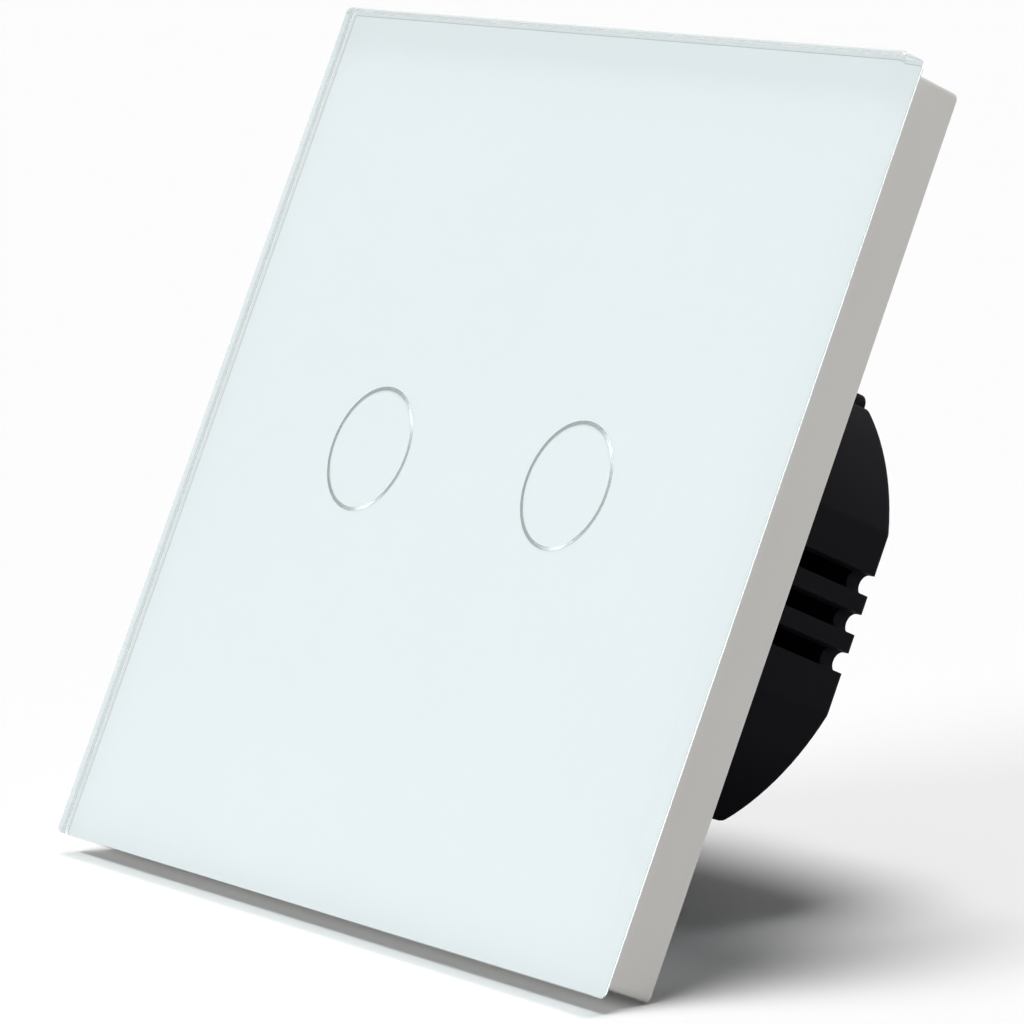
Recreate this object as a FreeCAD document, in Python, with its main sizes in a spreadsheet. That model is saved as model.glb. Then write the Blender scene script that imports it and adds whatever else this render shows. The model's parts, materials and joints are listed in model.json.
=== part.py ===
import FreeCAD, Part
import math
import os
import re
import Sketcher
from FreeCAD import Placement, Rotation, Vector

# Touch light switch with two keys for a round wall box.
# X runs to the right as one faces the switch, Y into the wall and Z up.
# The origin is the middle of the wall plane, where the front frame's rear edge
# and the mounting plate's back lie. Sizes are millimetres.

# Driving sizes: name, value, what it is
SIZES = [
    ("panel_size", 86.0, "glass panel, width and height"),
    ("front_depth", 8.2, "from the wall plane to the front of the glass"),
    ("glass_thick", 2.5, "glass panel"),
    ("glass_corner", 0.5, "rounding of the glass panel's corners"),
    ("glass_bevel", 0.25, "polished bevel on the glass panel's front edges"),
    ("print_margin", 0.6, "clear border round the back print"),
    ("print_thick", 0.15, "back print"),
    ("ring_spacing", 31.1, "centre to centre of the two ring marks"),
    ("ring_radius", 6.0, "middle of the ring mark's line"),
    ("ring_line", 0.36, "width of the ring mark's line"),
    ("tape_margin", 0.5, "adhesive tape, in from the frame's edge"),
    ("tape_width", 6.5, "adhesive tape along each edge"),
    ("tape_thick", 0.25, "adhesive tape"),
    ("frame_inset", 1.05, "step from the glass edge in to the frame"),
    ("frame_wall", 1.6, "side walls of the front frame"),
    ("frame_face", 1.1, "face of the front frame, behind the tape"),
    ("frame_window", 67.0, "opening in the frame's face"),
    ("window_corner", 3.0, "rounding of the opening's corners"),
    ("frame_corner", 0.6, "rounding of the frame's corners"),
    ("frame_edge", 0.4, "rounding of the frame's rear edge"),
    ("finger_wide", 9.0, "holding finger of the frame"),
    ("finger_thick", 1.1, "holding finger"),
    ("finger_gap", 0.12, "holding finger to the plate's lip"),
    ("finger_short", 0.6, "holding finger's end to the wall plane"),
    ("finger_offset", 22.0, "holding finger's middle from the panel's middle"),
    ("plate_thick", 1.2, "mounting plate"),
    ("plate_margin", 1.85, "mounting plate's edge to the frame's wall"),
    ("plate_corner", 3.0, "rounding of the plate's corners"),
    ("lip_tall", 2.2, "lip in front of the plate's face"),
    ("lip_thick", 1.0, "lip of the plate"),
    ("screw_spacing", 60.0, "wall box screws, centre to centre"),
    ("slot_length", 8.0, "slot for a wall box screw, end to end"),
    ("slot_width", 4.2, "slot for a wall box screw"),
    ("plate_window", 16.0, "opening for the header in the plate, width and height"),
    ("plate_window_corner", 1.0, "rounding of that opening's corners"),
    ("housing_drop", 2.0, "housing's axis below the panel's middle"),
    ("housing_radius", 25.0, "rear housing, round part"),
    ("housing_depth", 24.2, "rear housing behind the wall plane"),
    ("side_cut", 1.6, "round part in to the housing's side flats"),
    ("top_cut", 4.85, "round part in to the housing's top flat"),
    ("base_cut", 4.3, "round part in to the housing's bottom flat"),
    ("housing_wall", 1.6, "walls and rear of the housing"),
    ("housing_edge", 0.6, "rounding of the housing's rear edge"),
    ("shoulder_round", 1.4, "rounding between the housing's flats and its round part"),
    ("label_wide", 27.0, "shallow bare field on the housing's rear"),
    ("label_high", 15.0, "shallow bare field on the housing's rear"),
    ("label_deep", 0.3, "shallow fields on the housing's rear"),
    ("label_up", 6.5, "bare field above the housing's axis"),
    ("strip_margin", 0.8, "shallow field beyond the terminal screws' holes"),
    ("field_corner", 1.0, "rounding of the shallow fields' corners"),
    ("lug_wide", 3.2, "lug on the housing's top flat"),
    ("lug_tall", 1.35, "lug above the top flat"),
    ("lug_long", 9.0, "lug along the housing"),
    ("lug_inset", 2.65, "lug's middle in from the top flat's end"),
    ("lug_round", 1.1, "rounding of the lug's crest"),
    ("vent_tall", 2.0, "vent slot"),
    ("vent_pitch", 3.75, "vent slot to the next one"),
    ("vent_reach", 2.1, "vent slot, in from the side flat"),
    ("vent_start", 14.1, "wall plane to the vent slots"),
    ("vent_corner", 0.4, "rounding of the vent slots' front corners"),
    ("boss_radius", 2.6, "screw boss in the housing"),
    ("boss_long", 9.0, "screw boss along the housing"),
    ("boss_bite", 0.4, "screw boss into the housing's wall"),
    ("upper_boss_x", 9.5, "upper screw bosses from the housing's axis"),
    ("lower_boss_rise", 6.95, "lower screw bosses above the bottom flat's inner face"),
    ("wall_bite", 0.1, "bosses and ledges into the wall that carries them"),
    ("screw_radius", 1.1, "housing screw's thread"),
    ("screw_long", 7.5, "housing screw under its head"),
    ("screw_head", 2.1, "housing screw's head, radius"),
    ("screw_head_tall", 0.85, "housing screw's head"),
    ("screw_play", 0.04, "thread to its hole, and post to its hole"),
    ("screw_clear", 0.15, "housing screw to its hole in the plate"),
    ("hole_spare", 0.5, "boss's hole past a screw's length"),
    ("cross_long", 2.2, "cross recess of a housing screw, across"),
    ("cross_wide", 0.5, "cross recess, width of an arm"),
    ("cross_deep", 0.5, "cross recess"),
    ("touch_board_wide", 51.0, "touch board"),
    ("touch_board_high", 58.0, "touch board"),
    ("touch_board_corner", 1.5, "rounding of the touch board's corners"),
    ("board_thick", 1.0, "touch board"),
    ("board_lift", 1.1, "touch board to the plate"),
    ("post_margin", 3.6, "touch board's post from the board's edges"),
    ("post_radius", 1.15, "post's pin"),
    ("post_shoulder", 2.1, "post's shoulder, radius"),
    ("post_head", 1.75, "post's head, radius"),
    ("post_head_tall", 0.5, "post's head"),
    ("post_short", 0.2, "post's end to the wall plane"),
    ("lamp_size", 3.0, "lamp, width and height"),
    ("lamp_tall", 0.9, "lamp in front of the board"),
    ("guide_margin", 0.4, "light guide's rim outside the ring mark"),
    ("guide_wall", 1.1, "light guide round a lamp"),
    ("guide_gap", 0.12, "light guide to the back print"),
    ("wire_radius", 0.2, "touch spring's wire"),
    ("spring_turns", 2.0, "turns of a touch spring"),
    ("spring_gap", 0.1, "touch spring to the light guide and to the back print"),
    ("header_wide", 12.0, "header and socket"),
    ("header_high", 2.6, "header and socket"),
    ("header_deep", 2.9, "header's body behind the touch board"),
    ("socket_wall", 0.8, "socket's ends"),
    ("pin_size", 0.6, "header's pins"),
    ("pin_long", 2.4, "header's pins"),
    ("pin_play", 0.15, "header's pin to the socket's slot"),
    ("pin_pitch", 2.0, "header's pin to the next one"),
    ("power_board_at", 4.0, "wall plane to the power board"),
    ("power_board_thick", 1.6, "power board"),
    ("board_play", 0.4, "power board to the housing's walls"),
    ("ledge_size", 1.5, "ledge that holds the power board, in from the wall"),
    ("ledge_high", 5.0, "ledge that holds the power board"),
    ("ledge_deep", 3.0, "ledge along the housing"),
    ("block_wide", 24.8, "terminal block"),
    ("block_high", 9.4, "terminal block"),
    ("block_play", 0.2, "terminal block to the housing"),
    ("pole_pitch", 8.0, "terminal to the next one"),
    ("cage_wide", 6.4, "terminal cage"),
    ("cage_high", 6.5, "terminal cage"),
    ("cage_deep", 9.0, "terminal cage along the screw"),
    ("cage_drop", 0.1, "terminal cage below the block's middle"),
    ("cage_wall", 1.1, "terminal cage's sides and floor"),
    ("cage_nut", 2.0, "terminal cage's threaded wall"),
    ("cage_play", 0.1, "terminal cage to the block"),
    ("clamp_thick", 0.8, "wire clamp"),
    ("clamp_travel", 2.4, "wire clamp, open to closed"),
    ("clamp_play", 0.1, "wire clamp to the cage's sides"),
    ("clamp_short", 0.4, "wire clamp's ends in from the cage's ends"),
    ("clamp_gap", 0.3, "open wire clamp to the threaded wall"),
    ("clamp_seat", 0.3, "hollow for the screw's tip in the wire clamp"),
    ("terminal_screw", 1.7, "terminal screw's thread, radius"),
    ("terminal_head", 2.6, "terminal screw's head, radius"),
    ("terminal_head_tall", 2.2, "terminal screw's head"),
    ("terminal_play", 0.05, "terminal screw to what it runs in"),
    ("head_play", 0.2, "terminal screw's head to its holes"),
    ("driver_slot", 0.8, "screwdriver slot"),
    ("driver_slot_deep", 1.2, "screwdriver slot"),
    ("wire_entry", 1.9, "wire entry of the terminal block, radius"),
    ("wire_play", 0.2, "wire entry of the housing beyond the block's"),
    ("relay_wide", 10.1, "relay"),
    ("relay_high", 17.6, "relay"),
    ("relay_deep", 12.3, "relay behind the power board"),
    ("relay_gap", 1.0, "relay to relay"),
    ("relay_margin", 2.6, "relay to the housing's side wall"),
    ("relay_lift", 0.5, "relays above the terminal block"),
    ("relay_wall", 0.6, "relay's cover"),
    ("relay_round", 0.5, "rounding of the relay's rear edges"),
    ("relay_base_thick", 1.6, "relay's base"),
    ("yoke_thick", 1.0, "relay's yoke"),
    ("yoke_gap", 0.6, "relay's yoke to its cover"),
    ("yoke_in", 1.0, "middle of the yoke's back in from the cover's end wall"),
    ("yoke_short", 0.2, "yoke's end to the armature"),
    ("yoke_foot", 1.5, "yoke's foot beyond the coil's diameter"),
    ("coil_radius", 3.4, "relay's coil"),
    ("coil_gap", 0.7, "relay's coil to the yoke's back"),
    ("coil_rim", 0.3, "winding below its flanges' rim"),
    ("flange_thick", 0.5, "coil's flange"),
    ("core_radius", 1.5, "relay's core"),
    ("pole_rim", 1.0, "relay's pole face beyond the core"),
    ("pole_thick", 0.6, "relay's pole face"),
    ("air_gap", 0.7, "relay's core to its armature"),
    ("armature_thick", 0.8, "relay's armature"),
    ("armature_in", 0.2, "armature in from the yoke's sides"),
    ("armature_spare", 1.2, "armature beyond the coil's diameter"),
    ("leaf_thick", 0.3, "relay's contact leaf"),
    ("leaf_wide", 3.2, "relay's contact leaf"),
    ("leaf_gap", 0.2, "relay's contact leaf to its cover"),
    ("leaf_spare", 1.2, "contact leaf beyond the contacts' middle"),
    ("contact_radius", 1.0, "relay's contacts"),
    ("contact_in", 2.3, "contacts' middle in from the cover's end wall"),
    ("contact_tall", 0.6, "moving contact in front of its armature"),
    ("contact_gap", 1.2, "relay's open contacts"),
    ("button_tall", 0.8, "fixed contact's button"),
    ("button_bite", 0.4, "fixed contact's post into its button"),
    ("contact_post_wide", 3.0, "fixed contact's post"),
    ("contact_post_thick", 0.7, "fixed contact's post"),
    ("can_radius", 4.0, "smoothing capacitor"),
    ("can_tall", 12.5, "smoothing capacitor"),
    ("can_round", 0.6, "rounding of the capacitors' rear edges"),
    ("can_margin", 2.8, "smoothing capacitor to the housing's side wall"),
    ("can_drop", 8.95, "smoothing capacitor's middle below the top flat's inner face"),
    ("film_wide", 4.0, "filter capacitor"),
    ("film_high", 10.0, "filter capacitor"),
    ("film_tall", 9.0, "filter capacitor"),
    ("film_gap", 0.5, "filter capacitor to the choke"),
    ("film_down", 1.5, "filter capacitor below the housing's axis"),
    ("choke_radius", 4.0, "choke's flanges"),
    ("choke_core_radius", 2.4, "choke's core under its winding"),
    ("choke_rim", 0.5, "choke's winding below its flanges' rim"),
    ("choke_flange", 1.0, "choke's flange"),
    ("choke_length", 9.5, "choke, end to end"),
    ("choke_margin", 2.0, "choke to the housing's side wall"),
    ("choke_down", 1.5, "choke below the housing's axis"),
    ("fuse_radius", 1.9, "fuse's caps"),
    ("fuse_long", 12.0, "fuse"),
    ("fuse_cap_long", 2.2, "fuse's cap"),
    ("fuse_cap_thick", 0.2, "fuse's cap over its tube"),
    ("fuse_margin", 0.45, "fuse to the top flat's inner face"),
    ("varistor_radius", 3.5, "varistor"),
    ("varistor_thick", 3.4, "varistor"),
    ("varistor_gap", 0.4, "varistor to the screw boss above it"),
    ("chip_size", 6.0, "controllers, width and height"),
    ("chip_thick", 1.0, "controllers"),
    ("power_chip_x", 9.6, "power board's controller from the housing's axis"),
    ("overcut", 1.0, "cutting shapes beyond what they cut"),
]

# Places and sizes that follow from the driving ones
DERIVED = {
    "glass_front": "-front_depth",
    "glass_back": "glass_front + glass_thick",
    "print_back": "glass_back + print_thick",
    "frame_front": "print_back + tape_thick",
    "frame_face_back": "frame_front + frame_face",
    "print_size": "panel_size - 2 * print_margin",
    "frame_size": "panel_size - 2 * frame_inset",
    "frame_inside": "frame_size - 2 * frame_wall",
    "tape_size": "frame_size - 2 * tape_margin",
    "tape_inside": "tape_size - 2 * tape_width",
    "ring_outside": "ring_radius + ring_line / 2",
    "ring_inside": "ring_radius - ring_line / 2",
    "ring_x": "ring_spacing / 2",
    "plate_size": "frame_inside - 2 * plate_margin",
    "lip_front": "-plate_thick - lip_tall",
    "board_back": "-plate_thick - board_lift",
    "board_front": "board_back - board_thick",
    "guide_radius": "ring_outside + guide_margin",
    "guide_front": "print_back + guide_gap",
    "guide_bore": "guide_radius - guide_wall",
    "guide_long": "board_front - guide_front",
    "spring_radius": "guide_bore - spring_gap - wire_radius",
    "spring_long": "board_front - print_back - spring_gap - 2 * wire_radius",
    "header_rear": "board_back + header_deep",
    "housing_z": "-housing_drop",
    "housing_side": "housing_radius - side_cut",
    "housing_top": "housing_radius - top_cut",
    "housing_base": "housing_radius - base_cut",
    "cavity_radius": "housing_radius - housing_wall",
    "cavity_side": "housing_side - housing_wall",
    "cavity_top": "housing_top - housing_wall",
    "cavity_base": "housing_base - housing_wall",
    "rear_wall": "housing_depth - housing_wall",
    "lug_x": "sqrt(housing_radius^2 - housing_top^2) - lug_inset",
    "upper_boss_up": "cavity_top + boss_bite - boss_radius",
    "lower_boss_down": "cavity_base - lower_boss_rise",
    "lower_boss_x": "sqrt((cavity_radius + boss_bite - boss_radius)^2 - lower_boss_down^2)",
    "power_board_back": "power_board_at + power_board_thick",
    "block_bottom": "housing_z - cavity_base + block_play",
    "block_top": "block_bottom + block_high",
    "block_rear": "rear_wall - 2 * block_play",
    "cage_z": "(block_top + block_bottom) / 2 - cage_drop",
    "cage_base": "cage_z - cage_high / 2",
    "cage_inside": "cage_wide - 2 * cage_wall",
    "head_rear": "rear_wall + block_play",
    "head_front": "head_rear - terminal_head_tall",
    "cage_rear": "head_front - clamp_travel - block_play",
    "cage_front": "cage_rear - cage_deep",
    "nut_front": "cage_rear - cage_nut",
    "clamp_rear": "nut_front - clamp_gap",
    "clamp_front": "clamp_rear - clamp_thick",
    "screw_tip": "clamp_rear - clamp_seat + terminal_play",
    "wire_y": "(cage_front + cage_wall + clamp_front) / 2",
    "relay_z": "block_top + relay_lift + relay_high / 2",
    "relay_rear": "power_board_back + relay_deep",
    "relay_floor": "power_board_back + relay_base_thick",
    "relay_ceiling": "relay_rear - relay_wall",
    "yoke_wide": "relay_wide - 2 * relay_wall - 2 * yoke_gap",
    "yoke_z": "relay_z - relay_high / 2 + relay_wall + yoke_in",
    "yoke_foot_long": "2 * coil_radius + yoke_foot",
    "coil_z": "yoke_z + yoke_thick / 2 + coil_gap + coil_radius",
    "coil_front": "relay_floor + yoke_thick",
    "armature_rear": "relay_ceiling - leaf_gap - leaf_thick",
    "armature_front": "armature_rear - armature_thick",
    "armature_long": "2 * coil_radius + armature_spare",
    "core_rear": "armature_front - air_gap",
    "coil_rear": "core_rear - pole_thick",
    "contact_z": "relay_z + relay_high / 2 - relay_wall - contact_in",
    "leaf_long": "contact_z - yoke_z + leaf_spare",
    "button_rear": "armature_front - contact_tall - contact_gap",
    "choke_x": "cavity_side - choke_margin - choke_radius",
    "choke_z": "housing_z - choke_down",
    "choke_coil_front": "power_board_back + choke_flange",
    "choke_coil_long": "choke_length - 2 * choke_flange",
    "film_x": "choke_x - choke_radius - film_gap - film_wide / 2",
    "can_x": "cavity_side - can_margin - can_radius",
    "can_z": "housing_z + cavity_top - can_drop",
    "fuse_z": "housing_z + cavity_top - fuse_margin - fuse_radius",
    "fuse_y": "power_board_back + fuse_radius",
    "varistor_x": "film_x - film_wide / 2",
    "varistor_z": "housing_z + upper_boss_up - boss_radius - varistor_gap - varistor_radius",
}

# Counts
POLES = 3
RELAYS = 2
VENTS = 3
HEADER_PINS = 5
WIRE_SIDES = 8

# Two places nearer than this are one place
NEAR = 1e-6
QUARTER_TURN = math.pi / 2

doc = FreeCAD.newDocument("light_switch")
sheet = doc.addObject("Spreadsheet::Sheet", "dims")
for row, (alias, size, note) in enumerate(SIZES, 1):
    sheet.set(f"A{row}", note)
    sheet.set(f"B{row}", str(size))
    sheet.setAlias(f"B{row}", alias)
doc.recompute()

NAMES = {alias for alias, size, note in SIZES}
kept = []


def formula(text):
    """Spells out the derived names in a formula, and names the sheet before each driving size."""
    def spell(found):
        word = found.group()
        if word in DERIVED:
            return "(" + formula(DERIVED[word]) + ")"
        return "dims." + word if word in NAMES else word
    return re.sub(r"(?<![.\w])[a-z_]+", spell, str(text))


def size_of(text):
    """What a formula comes to with the sheet's present sizes."""
    return float(sheet.evalExpression(formula(text)))


def bind(thing, path, text):
    thing.setExpression(path, formula(text))


def put(thing, x, y, z, turn=None):
    """Places an object, turned first where a turn is given."""
    if turn is not None:
        thing.Placement = Placement(Vector(), turn)
    for axis, text in zip("xyz", (x, y, z)):
        bind(thing, f"Placement.Base.{axis}", text)


ALONG = {
    "x": Rotation(Vector(0, 1, 0), 90),
    "y": Rotation(Vector(1, 0, 0), -90),
    "z": Rotation(),
}


def block(name, wide, deep, high, x="0", y="0", z="0"):
    """A box centred on x and z, with its front face at y."""
    solid = doc.addObject("Part::Box", name)
    bind(solid, "Length", wide)
    bind(solid, "Width", deep)
    bind(solid, "Height", high)
    put(solid, f"({x}) - ({wide}) / 2", y, f"({z}) - ({high}) / 2")
    return solid


def rod(name, radius, length, x="0", y="0", z="0", along="y"):
    """A cylinder that starts at x, y, z and runs along an axis."""
    solid = doc.addObject("Part::Cylinder", name)
    bind(solid, "Radius", radius)
    bind(solid, "Height", length)
    put(solid, x, y, z, ALONG[along])
    return solid


def join(name, *solids):
    together = doc.addObject("Part::MultiFuse", name)
    together.Shapes = list(solids)
    return together


def group(name, *solids):
    together = doc.addObject("Part::Compound", name)
    together.Links = list(solids)
    return together


def common(name, *solids):
    shared = doc.addObject("Part::MultiCommon", name)
    shared.Shapes = list(solids)
    return shared


def carve(name, base, *tools):
    left = doc.addObject("Part::Cut", name)
    left.Base = base
    left.Tool = tools[0] if len(tools) == 1 else group(name + "_cuts", *tools)
    return left


def soften(name, base, radius, wanted):
    """Rounds the edges that a test picks, which gets each edge's box."""
    doc.recompute()
    numbers = [n for n, edge in enumerate(base.Shape.Edges, 1) if wanted(edge.BoundBox)]
    rounded = doc.addObject("Part::Fillet", name)
    rounded.Base = base
    rounded.Edges = [(n, size_of(radius), size_of(radius)) for n in numbers]
    return rounded


def keep(thing, label):
    """Names a sub-part: its label is also its file's name."""
    thing.Label = label
    kept.append(thing)
    return thing


# Sketches lie in the body's XZ plane, drawn as seen from the front, so a pad grows forward.
def body(name):
    return doc.addObject("PartDesign::Body", name)


def sketch(owner, name, y, z="0"):
    drawing = owner.newObject("Sketcher::SketchObject", name)
    plane = [p for p in owner.Origin.OriginFeatures if p.Role == "XZ_Plane"][0]
    drawing.AttachmentSupport = (plane, [""])
    drawing.MapMode = "FlatFace"
    bind(drawing, "AttachmentOffset.Base.y", z)
    bind(drawing, "AttachmentOffset.Base.z", f"-({y})")
    return drawing


def hold(drawing, name, text, kind, *points):
    """A dimension of a sketch, tied to a formula."""
    number = drawing.addConstraint(Sketcher.Constraint(kind, *points, size_of(text)))
    drawing.renameConstraint(number, name)
    bind(drawing, f"Constraints.{name}", text)


def draw_arc(drawing, middle, radius, start, end):
    circle = Part.Circle(Vector(*middle), Vector(0, 0, 1), radius)
    return drawing.addGeometry(Part.ArcOfCircle(circle, start, end), False)


def draw_line(drawing, start, end):
    return drawing.addGeometry(Part.LineSegment(Vector(*start), Vector(*end)), False)


def draw_rectangle(drawing, wide, high, corner):
    """A rectangle with round corners, centred on the sketch's origin."""
    w = size_of(wide) / 2
    h = size_of(high) / 2
    r = size_of(corner)
    sides = [((-w + r, -h), (w - r, -h)), ((w, -h + r), (w, h - r)),
             ((w - r, h), (-w + r, h)), ((-w, h - r), (-w, -h + r))]
    middles = [(w - r, -h + r), (w - r, h - r), (-w + r, h - r), (-w + r, -h + r)]
    lines = []
    arcs = []
    for number, ((start, end), middle) in enumerate(zip(sides, middles)):
        lines.append(draw_line(drawing, start, end))
        first = (number - 1) * QUARTER_TURN
        arcs.append(draw_arc(drawing, middle, r, first, first + QUARTER_TURN))
    for number in range(4):
        drawing.addConstraint(Sketcher.Constraint("Tangent", lines[number], 2, arcs[number], 1))
        drawing.addConstraint(Sketcher.Constraint("Tangent", arcs[number], 2, lines[(number + 1) % 4], 1))
        if number:
            drawing.addConstraint(Sketcher.Constraint("Equal", arcs[0], arcs[number]))
    for number, kind in enumerate(("Horizontal", "Vertical", "Horizontal", "Vertical")):
        drawing.addConstraint(Sketcher.Constraint(kind, lines[number]))
    drawing.addConstraint(Sketcher.Constraint("Symmetric", lines[0], 1, lines[2], 1, -1, 1))
    hold(drawing, "corner", corner, "Radius", arcs[0])
    hold(drawing, "wide", wide, "DistanceX", lines[3], 1, lines[1], 1)
    hold(drawing, "high", high, "DistanceY", lines[0], 1, lines[2], 1)


def draw_slot(drawing, length, width, x, tag):
    """A slot that runs across, with its middle at x."""
    r = size_of(width) / 2
    half = size_of(length) / 2 - r
    middle = size_of(x)
    loop = [draw_line(drawing, (middle + half, r), (middle - half, r)),
            draw_arc(drawing, (middle - half, 0), r, QUARTER_TURN, 3 * QUARTER_TURN),
            draw_line(drawing, (middle - half, -r), (middle + half, -r)),
            draw_arc(drawing, (middle + half, 0), r, -QUARTER_TURN, QUARTER_TURN)]
    for number in range(4):
        drawing.addConstraint(Sketcher.Constraint("Tangent", loop[number], 2, loop[(number + 1) % 4], 1))
    drawing.addConstraint(Sketcher.Constraint("Horizontal", loop[0]))
    drawing.addConstraint(Sketcher.Constraint("Equal", loop[1], loop[3]))
    drawing.addConstraint(Sketcher.Constraint("PointOnObject", loop[1], 3, -1))
    hold(drawing, "end" + tag, f"({width}) / 2", "Radius", loop[1])
    hold(drawing, "left" + tag, f"({x}) - ({length}) / 2 + ({width}) / 2", "DistanceX", -1, 1, loop[1], 3)
    hold(drawing, "right" + tag, f"({x}) + ({length}) / 2 - ({width}) / 2", "DistanceX", -1, 1, loop[3], 3)


def draw_circle(drawing, radius, x, z, tag):
    centre = Vector(size_of(x), size_of(z))
    round_line = drawing.addGeometry(Part.Circle(centre, Vector(0, 0, 1), size_of(radius)), False)
    hold(drawing, "radius" + tag, radius, "Radius", round_line)
    hold(drawing, "across" + tag, x, "DistanceX", -1, 1, round_line, 3)
    if z == "0":
        drawing.addConstraint(Sketcher.Constraint("PointOnObject", round_line, 3, -1))
    else:
        hold(drawing, "up" + tag, z, "DistanceY", -1, 1, round_line, 3)


def pad(owner, drawing, name, length):
    grown = owner.newObject("PartDesign::Pad", name)
    grown.Profile = drawing
    bind(grown, "Length", length)
    drawing.Visibility = False
    return grown


def pocket(owner, drawing, name, length):
    """Cuts towards the wall from the sketch's plane."""
    cut = owner.newObject("PartDesign::Pocket", name)
    cut.Profile = drawing
    bind(cut, "Length", length)
    drawing.Visibility = False
    return cut


def slab(name, wide, high, corner, front, thick):
    """A body that starts as a flat slab with round corners."""
    owner = body(name)
    drawing = sketch(owner, name + "_outline", f"({front}) + ({thick})")
    draw_rectangle(drawing, wide, high, corner)
    pad(owner, drawing, name + "_slab", thick)
    return owner


def drill(owner, name, holes, front, depth):
    """Round holes: (radius, x, z) each, cut from a front plane."""
    drawing = sketch(owner, name + "_circles", front)
    for number, (radius, x, up) in enumerate(holes):
        draw_circle(drawing, radius, x, up, str(number))
    return pocket(owner, drawing, name, depth)


def edges_at(shape, y, outside=0.0):
    """Names of the edges that lie in the plane y and reach at least so far from the axis."""
    names = []
    for number, edge in enumerate(shape.Edges, 1):
        box = edge.BoundBox
        far = max(box.XMax, box.ZMax, -box.XMin, -box.ZMin)
        if abs(box.YMin - y) < NEAR and abs(box.YMax - y) < NEAR and far > outside - NEAR:
            names.append(f"Edge{number}")
    return names


BOTH = (-1, 1)
CORNERS = [(side, rise) for side in BOTH for rise in BOTH]


# Glass panel, with a fine polished bevel round its front
def glass_panel():
    glass = slab("glass", "panel_size", "panel_size", "glass_corner", "glass_front", "glass_thick")
    doc.recompute()
    slab_tip = glass.Tip
    edges = edges_at(glass.Shape, size_of("glass_front"))
    bevel = glass.newObject("PartDesign::Chamfer", "glass_arris")
    bevel.Base = (slab_tip, edges)
    bind(bevel, "Size", "glass_bevel")
    keep(glass, "glass_panel")


# White back print: the field and the two discs inside the ring marks
def back_print():
    field = slab("field", "print_size", "print_size", "glass_corner", "glass_back", "print_thick")
    holes = [("ring_outside", f"{side} * ring_x", "0") for side in BOTH]
    drill(field, "field_holes", holes, "glass_back", "print_thick")
    discs = [rod(f"disc_{side + 2}", "ring_inside", "print_thick", f"{side} * ring_x", "glass_back")
             for side in BOTH]
    keep(group("print", field, *discs), "back_print")


# Ring marks: translucent ink that fills the gaps of the back print
def ring_marks():
    rings = []
    for side in BOTH:
        place = (f"{side} * ring_x", "glass_back")
        disc = rod(f"mark_disc_{side + 2}", "ring_outside", "print_thick", *place)
        hole = rod(f"mark_hole_{side + 2}", "ring_inside", "print_thick", *place)
        rings.append(carve(f"mark_{side + 2}", disc, hole))
    keep(group("marks", *rings), "ring_marks")


def adhesive_tape():
    outer = block("tape_outer", "tape_size", "tape_thick", "tape_size", y="print_back")
    inner = block("tape_inner", "tape_inside", "tape_thick", "tape_inside", y="print_back")
    keep(carve("tape", outer, inner), "adhesive_tape")


# Front frame: a shallow tray with a window, and four holding fingers
def front_frame():
    frame = slab("frame", "frame_size", "frame_size", "frame_corner", "frame_front", "-(frame_front)")
    hollow = sketch(frame, "frame_hollow_outline", "frame_face_back")
    draw_rectangle(hollow, "frame_inside", "frame_inside", "frame_corner")
    pocket(frame, hollow, "frame_hollow", "-(frame_face_back)")
    window = sketch(frame, "frame_window_outline", "frame_front")
    draw_rectangle(window, "frame_window", "frame_window", "window_corner")
    pocket(frame, window, "frame_opening", "frame_face")
    doc.recompute()
    tray_tip = frame.Tip
    edges = edges_at(frame.Shape, 0, size_of("frame_size / 2 - frame_corner"))
    rounding = frame.newObject("PartDesign::Fillet", "frame_rear_edge")
    rounding.Base = (tray_tip, [name for name in edges if outer_edge(frame.Shape.getElement(name))])
    bind(rounding, "Radius", "frame_edge")
    fingers = []
    for side, rise in CORNERS:
        place = f"{rise} * (plate_size / 2 + finger_gap + finger_thick / 2)"
        fingers.append(block(f"finger_{side + 2}_{rise + 2}", "finger_wide",
                             "-(frame_face_back) - finger_short", "finger_thick",
                             f"{side} * finger_offset", "frame_face_back", place))
    keep(join("frame_with_fingers", frame, *fingers), "front_frame")


def outer_edge(edge):
    """Whether an edge of the frame's rear belongs to its outside."""
    middle = edge.valueAt((edge.FirstParameter + edge.LastParameter) / 2)
    return max(abs(middle.x), abs(middle.z)) > size_of("frame_inside / 2 + frame_wall / 2")


# Mounting plate: pressed steel with two lips, two slots, a window and screw holes
def screw_places():
    upper = [(f"{side} * upper_boss_x", "housing_z + upper_boss_up") for side in BOTH]
    lower = [(f"{side} * lower_boss_x", "housing_z - lower_boss_down") for side in BOTH]
    return upper + lower


def post_places():
    across = "(touch_board_wide / 2 - post_margin)"
    up = "(touch_board_high / 2 - post_margin)"
    return [(f"{side} * {across}", f"{rise} * {up}") for side, rise in CORNERS]


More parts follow.
